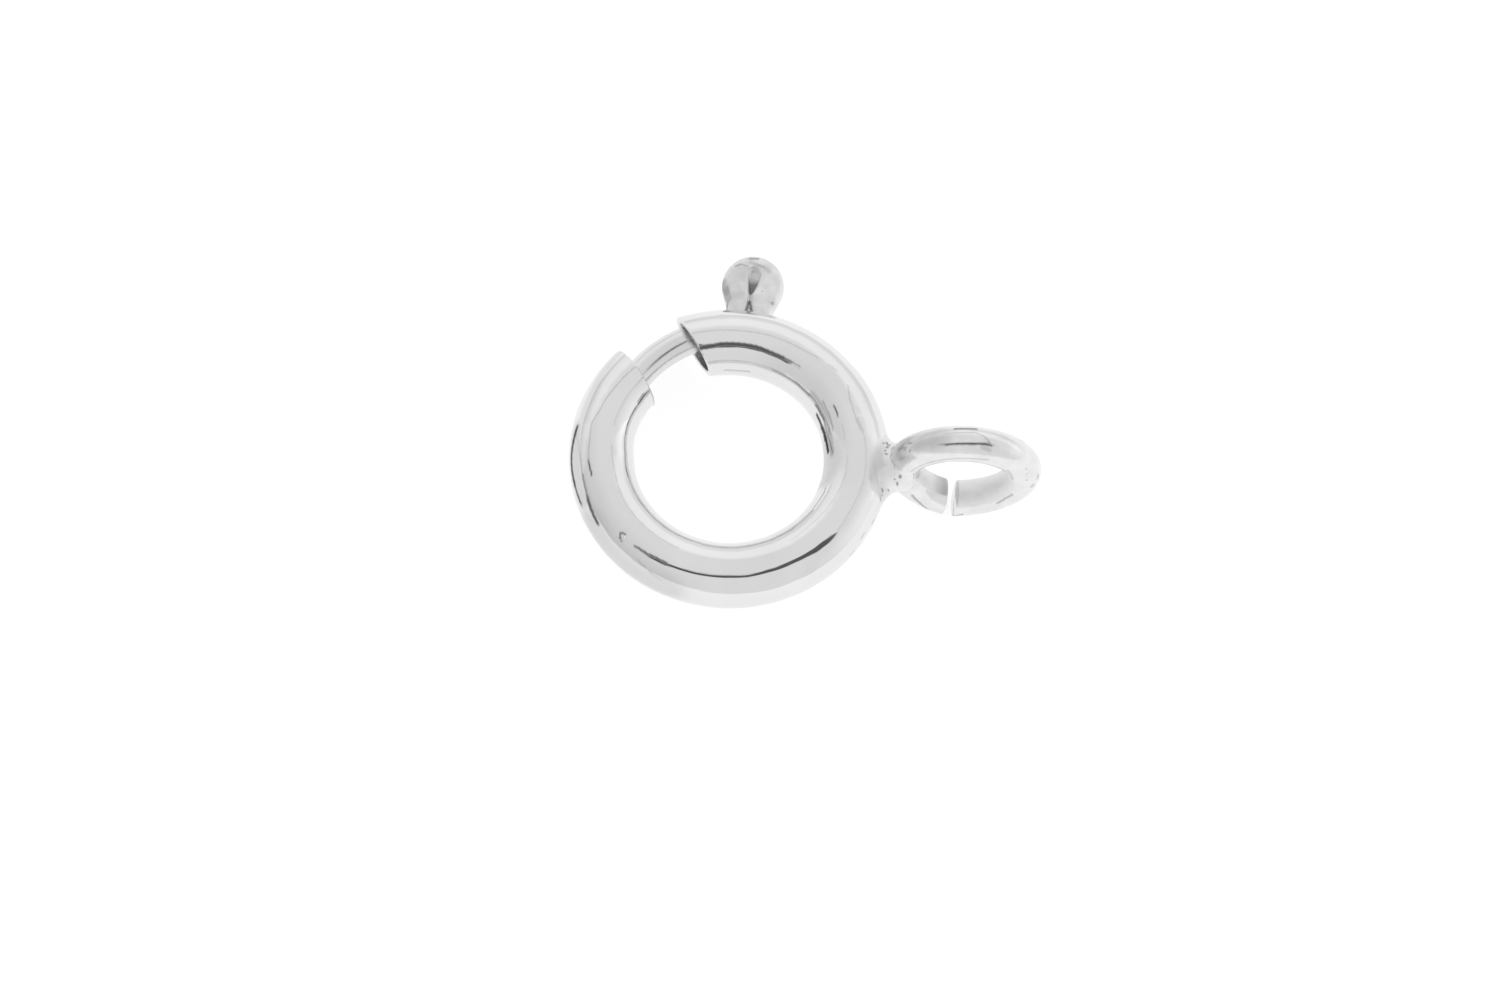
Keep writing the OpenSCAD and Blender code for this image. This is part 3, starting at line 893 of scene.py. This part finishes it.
class Tree:
    """A node tree with short ways to add nodes; each gives the new node's socket."""

    def __init__(self, owner):
        owner.use_nodes = True
        self.nodes, self.links = owner.node_tree.nodes, owner.node_tree.links

    def feed(self, socket, value):
        if isinstance(value, bpy.types.NodeSocket):
            self.links.new(value, socket)
        else:
            socket.default_value = value

    def math(self, operation, *values):
        node = self.nodes.new("ShaderNodeMath")
        node.operation = operation
        for socket, value in zip(node.inputs, values):
            self.feed(socket, value)
        return node.outputs[0]

    def ramp(self, value, start, end, low, high, kind="LINEAR"):
        """Goes from low to high while value goes from start to end."""
        node = self.nodes.new("ShaderNodeMapRange")
        node.interpolation_type = kind
        self.links.new(value, node.inputs["Value"])
        node.inputs["From Min"].default_value = start
        node.inputs["From Max"].default_value = end
        node.inputs["To Min"].default_value = low
        node.inputs["To Max"].default_value = high
        return node.outputs["Result"]

    def ease(self, value, start, end, low=0.0, high=1.0):
        """The same with soft ends."""
        return self.ramp(value, start, end, low, high, "SMOOTHSTEP")

    def window(self, value, low, high, soft):
        """1 between low and high and 0 outside, with soft borders."""
        opens = self.ease(value, low - soft, low + soft)
        return self.math("MULTIPLY", opens, self.ease(value, high - soft, high + soft, 1, 0))

    def noise(self, vector, scale, detail):
        node = self.nodes.new("ShaderNodeTexNoise")
        node.inputs["Scale"].default_value = scale
        node.inputs["Detail"].default_value = detail
        self.links.new(vector, node.inputs["Vector"])
        return node.outputs["Fac"]

    def attribute(self, title):
        node = self.nodes.new("ShaderNodeAttribute")
        node.attribute_name = title
        return node.outputs["Fac"]

    def grey(self, share, tone):
        """Black to a grey of some tone, by share."""
        node = self.nodes.new("ShaderNodeMix")
        node.data_type = "RGBA"
        node.inputs[6].default_value = (0, 0, 0, 1)
        node.inputs[7].default_value = (tone, tone, tone, 1)
        self.links.new(share, node.inputs[0])
        return node.outputs[2]

    def bump(self, height, distance, under=None):
        """Normals of a surface raised by height times distance, over the normals under it."""
        node = self.nodes.new("ShaderNodeBump")
        node.inputs["Strength"].default_value = 1.0
        node.inputs["Distance"].default_value = distance
        self.links.new(height, node.inputs["Height"])
        if under is not None:
            self.links.new(under, node.inputs["Normal"])
        return node.outputs["Normal"]


# The lines that drawing left on the tube: how dense they are along it and round it
DRAWN_DENSITY = (0.35, 16.0, 1.0)


def metal(name, tone, roughness, bump, scale, mottled=0.07, drawn=0.0):
    """Metal with mottled tone and gloss, waviness and painted shading; drawn is the height of lines along
    the tube.
    """
    material = bpy.data.materials.new(name)
    tree = Tree(material)
    shader = tree.nodes["Principled BSDF"]
    shader.inputs["Metallic"].default_value = 1.0
    place = tree.nodes.new("ShaderNodeTexCoord")
    painted_shading = tree.attribute("painted_shading")
    mottle = tree.noise(place.outputs["Object"], scale, 4)
    # Painted shade and painted reflections darken the base colour and roughen it
    unshaded = tree.ramp(painted_shading, 0, 1, 1.0, 0.04)
    share = tree.math("MULTIPLY", tree.ramp(mottle, 0.3, 0.7, 1 - mottled, 1.0), unshaded)
    tree.links.new(tree.grey(share, tone), shader.inputs["Base Color"])
    gloss = tree.ramp(mottle, 0, 1, roughness * 0.7, roughness * 1.4)
    gloss = tree.math("ADD", gloss, tree.ramp(painted_shading, 0, 1, 0.0, 0.35))
    gloss = tree.math("ADD", gloss, tree.ramp(tree.attribute("matt"), 0, 1, 0.0, 0.5))
    tree.links.new(gloss, shader.inputs["Roughness"])
    normal = tree.bump(tree.noise(place.outputs["Object"], scale * 1.7, 2), bump * MM)
    if drawn:
        along = tree.nodes.new("ShaderNodeMapping")
        along.inputs["Scale"].default_value = DRAWN_DENSITY
        tree.links.new(place.outputs["UV"], along.inputs["Vector"])
        normal = tree.bump(tree.noise(along.outputs["Vector"], 1.0, 3), drawn * MM, normal)
    tree.links.new(normal, shader.inputs["Normal"])
    return material


def floor_material():
    """White, matt and mostly lit from within, so that shadows stay light."""
    material = bpy.data.materials.new("pale_floor")
    material.use_nodes = True
    nodes = material.node_tree.nodes
    shader = nodes["Principled BSDF"]
    shader.inputs["Base Color"].default_value = (0.3, 0.3, 0.3, 1)
    shader.inputs["Roughness"].default_value = 0.9
    shader.inputs["Specular IOR Level"].default_value = 0.0
    shader.inputs["Emission Color"].default_value = (1, 1, 1, 1)
    shader.inputs["Emission Strength"].default_value = 0.81
    return material


silver_tube = metal("silver_tube", tone=0.82, roughness=0.05, bump=0.004, scale=700, drawn=0.0014)
silver_jump = metal("silver_jump", tone=0.83, roughness=0.17, bump=0.006, scale=3500, mottled=0.1)
# The solder's paler tone lightens the shade in its concave neck: painted light
silver_solder_brightened = metal("silver_solder_brightened", tone=0.93, roughness=0.6, bump=0.006, scale=5000, mottled=0.1)
silver_bore = metal("silver_bore", tone=0.75, roughness=0.4, bump=0.01, scale=2500)
silver_sawn = metal("silver_sawn", tone=0.94, roughness=0.5, bump=0.006, scale=3000)
silver_wire = metal("silver_wire", tone=0.78, roughness=0.19, bump=0.004, scale=1500)
silver_knob = metal("silver_knob", tone=0.84, roughness=0.36, bump=0.012, scale=5200, mottled=0.16)
steel = metal("spring_steel", tone=0.6, roughness=0.2, bump=0.003, scale=4000)


# The object: the cells' size in each mesh that is made from a field
JUMP_CELL = 0.019
WIRE_CELL = 0.024
KNOB_CELL = 0.0135


def paint(piece, materials, slots):
    """Gives a piece its materials; slots says which of them each face has."""
    for material in materials:
        piece.data.materials.append(material)
    piece.data.polygons.foreach_set("material_index", slots)


def build_tube():
    """The case's tube: skin, bore and the sawn and cut edges, each with its own look."""
    points, faces, normals, uv, rims = tube_shell()
    # The skin's painted reflections darken its colour
    painted_shading, matt = tube_painted_reflections(points, uv), dulled_by_heat(points)
    tube = make_mesh("ring_tube", points, faces, normals, uv, painted_shading, matt)
    corners = np.array(faces)
    depth = torus_field(points, RING_R, TUBE_R)
    slots = (depth[corners].max(1) < -0.75 * WALL).astype(int)
    slots[np.isin(corners, rims).any(1)] = 2
    paint(tube, (silver_tube, silver_bore, silver_sawn), slots)
    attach(tube, "case")
    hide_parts("case")


def build_jump_ring():
    """The case's jump ring with its solder, whose normals turn into the tube's where it runs out."""
    low = (RING_RO - 0.68, -1.27, -JUMP_RO - 0.1)
    high = (JUMP_X + JUMP_RO + 0.1, 1.07, JUMP_RO + 0.1)
    points, faces, normals = field_mesh(solder_field, low, high, JUMP_CELL)
    over_skin = smooth(torus_field(points, RING_R, TUBE_R), 0.0, 0.11)[:, None]
    skin_normals = unit(gradient(lambda p: torus_field(p, RING_R, TUBE_R), points))
    normals = skin_normals * (1 - over_skin) + normals * over_skin
    # The jump ring carries painted shade and painted reflections in its colour
    jump = make_mesh("jump_ring", points, faces, normals, points[:, :2], jump_painted_shade(points))
    unpolished = (jump_field(points) > SOLDER_FROM) | (inner_flank(points) > 0.5)
    paint(jump, (silver_jump, silver_solder_brightened), unpolished[np.array(faces)[:, 0]].astype(int))
    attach(jump, "case")
    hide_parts("case")


def build_tongue():
    """The tongue: the bent wire, and the knob with its legs."""
    low, high = (-RING_RO, 1.2, -0.32), (RING_RO, RING_RO, 0.32)
    wire, wire_faces, wire_normals = field_mesh(wire_field, low, high, WIRE_CELL)
    reach = KNOB_W / 2 + 0.1
    middle = KNOB_ARC * knob_axes()[0]
    low = (middle[0] - reach, RING_R - 0.1, -0.25)
    high = (middle[0] + reach, middle[1] + reach, 0.25)
    knob, knob_faces, knob_normals = field_mesh(hairpin_field, low, high, KNOB_CELL)
    shift = len(wire)
    points = np.concatenate([wire, knob])
    faces = wire_faces + [[i + shift for i in f] for f in knob_faces]
    # Painted shade on the knob; the wire has none
    painted_shading = np.concatenate([np.zeros(shift), knob_painted_shade(own_knob(knob))])
    normals = np.concatenate([wire_normals, knob_normals])
    tongue = make_mesh("tongue_wire", points, faces, normals, points[:, :2], painted_shading)
    slots = np.repeat([0, 1], [len(wire_faces), len(knob_faces)])
    paint(tongue, (silver_wire, silver_knob), slots)
    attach(tongue, "tongue")
    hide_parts("tongue")


def build_spring():
    """The spring, whose one end sits at the knob's leg."""
    points, faces = spring_mesh()
    spring = make_mesh("coil_spring", points, faces)
    paint(spring, (steel,), np.zeros(len(faces), int))
    ends = [tube_point(np.array(a), np.array(0.0), 0.0) for a in (SPRING_TO, SPRING_FROM)]
    fixed, moving = to_row(ends[0]), to_row(ends[1])
    tuple(fixed)
    tuple(moving)
    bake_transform(spring)
    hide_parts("spring")


# The studio: a pale floor, white light from all round, and the camera where the photograph was taken
FRAME_PX = (1500, 994)
RING_PX = (729.11, 458.79)
RING_WIDTH_PX = 321.0
MM_PER_PX = 2 * RING_RO / RING_WIDTH_PX
VIEW_TILT = 23.9
VIEW_ROLL = 2.3
CAMERA_AWAY = 0.4
SENSOR_MM = 36.0
FLOOR_HALF = 1.5

# How bright the tent is from the left of the camera to its right, by angle
TENT = [
    (-90, 0.6), (-76, 0.68), (-64, 0.73), (-44, 0.76), (-10, 0.85),
    (36, 0.85), (46, 0.83), (60, 0.91), (75, 1.0), (90, 1.0),
]
# A brighter strip overhead: from and to, by the angle up from the camera, its soft border and its gain
STRIP = (62, 96)
STRIP_SOFT = 7
STRIP_GAIN = 0.2
# A dark slit round the camera: from and to, by the angle to the right, its soft ends and how dark it is
SLIT = (-33, 41)
SLIT_SOFT = 3
SLIT_DARK = 0.87
# The slit rises and widens between two angles to the right: its height and its half width at both
SLIT_BEND = (4, 28)
SLIT_HEIGHT = (-4, 9)
SLIT_HALF = (4.5, 7)
SLIT_EDGE = 1.5


def build_floor():
    """The pale floor that the clasp lies on."""
    size = FLOOR_HALF
    corners = [(-size, -size, 0), (size, -size, 0), (size, size, 0), (-size, size, 0)]
    mesh = bpy.data.meshes.new("floor")
    mesh.from_pydata(corners, [], [(0, 1, 2, 3)])
    floor = put_in_scene("floor", mesh)
    floor.data.materials.append(floor_material())


def build_camera():
    """The camera, tilted from the ring's axis as in the photo; returns its directions right, up and back."""
    tilt, roll = math.radians(VIEW_TILT), math.radians(VIEW_ROLL)
    back = np.array([0, -math.sin(tilt), math.cos(tilt)])
    upward = np.array([0, math.cos(tilt), math.sin(tilt)])
    right = np.array([math.cos(roll), 0, 0]) + math.sin(roll) * upward
    up = np.array([-math.sin(roll), 0, 0]) + math.cos(roll) * upward
    shift = (np.array(FRAME_PX) / 2 - np.array(RING_PX)) * MM_PER_PX
    aim = shift[0] * right - shift[1] * up
    axes = [v @ RING_AXES for v in (right, up, back)]
    data = bpy.data.cameras.new("camera")
    data.sensor_width = SENSOR_MM
    data.lens = data.sensor_width * CAMERA_AWAY / (FRAME_PX[0] * MM_PER_PX * MM)
    data.clip_start, data.clip_end = 0.01, 10.0
    camera = put_in_scene("camera", data)
    matrix = Matrix.Identity(4)
    for k, axis in enumerate(axes):
        matrix.col[k][:3] = axis
    matrix.translation = Vector(to_row(aim) + axes[2] * CAMERA_AWAY)
    camera.matrix_world = matrix
    bpy.context.scene.camera = camera
    return axes


def view_angles(tree, axes):
    """Sockets of two angles of a direction: to the camera's right, and up from the camera over the top."""
    place = tree.nodes.new("ShaderNodeTexCoord")
    parts = []
    for axis in axes:
        dot = tree.nodes.new("ShaderNodeVectorMath")
        dot.operation = "DOT_PRODUCT"
        dot.inputs[1].default_value = tuple(axis)
        tree.links.new(place.outputs["Generated"], dot.inputs[0])
        parts.append(dot.outputs["Value"])
    across, upward, toward = parts
    degrees = HALF_TURN / math.pi
    side = tree.math("MULTIPLY", tree.math("ARCSINE", across), degrees)
    pitch = tree.math("MULTIPLY", tree.math("ARCTAN2", upward, toward), degrees)
    return side, pitch


def tent_tone(tree, side):
    """The tent's tone by the angle to the right."""
    ramp = tree.nodes.new("ShaderNodeValToRGB")
    tree.links.new(tree.math("MULTIPLY_ADD", side, 1 / HALF_TURN, 0.5), ramp.inputs["Fac"])
    stops = ramp.color_ramp.elements
    while len(stops) < len(TENT):
        stops.new(0.5)
    for stop, (at, tone) in zip(stops, TENT):
        stop.position = at / HALF_TURN + 0.5
        stop.color = (tone, tone, tone, 1)
    return ramp.outputs["Color"]


def dark_slit(tree, side, pitch):
    """1 in the dark slit round the camera and 0 outside."""
    height = tree.ease(side, *SLIT_BEND, *SLIT_HEIGHT)
    half = tree.ease(side, *SLIT_BEND, *SLIT_HALF)
    off = tree.math("ABSOLUTE", tree.math("SUBTRACT", pitch, height))
    inside = tree.ease(tree.math("SUBTRACT", off, half), -SLIT_EDGE, SLIT_EDGE, 1, 0)
    return tree.math("MULTIPLY", inside, tree.window(side, *SLIT, SLIT_SOFT))


def build_light(axes):
    """A white tent: paler to the right and overhead, darker at the far left, with the dark slit."""
    world = bpy.data.worlds.new("studio")
    bpy.context.scene.world = world
    tree = Tree(world)
    side, pitch = view_angles(tree, axes)
    background = tree.nodes["Background"]
    tree.links.new(tent_tone(tree, side), background.inputs["Color"])
    strip = tree.math("MULTIPLY_ADD", tree.window(pitch, *STRIP, STRIP_SOFT), STRIP_GAIN, 1.0)
    unlit = tree.math("MULTIPLY_ADD", dark_slit(tree, side, pitch), -SLIT_DARK, 1.0)
    tree.links.new(tree.math("MULTIPLY", strip, unlit), background.inputs["Strength"])


build_tube()
build_jump_ring()
build_tongue()
build_spring()
build_floor()
build_light(build_camera())
bpy.context.scene.view_settings.view_transform = "Standard"
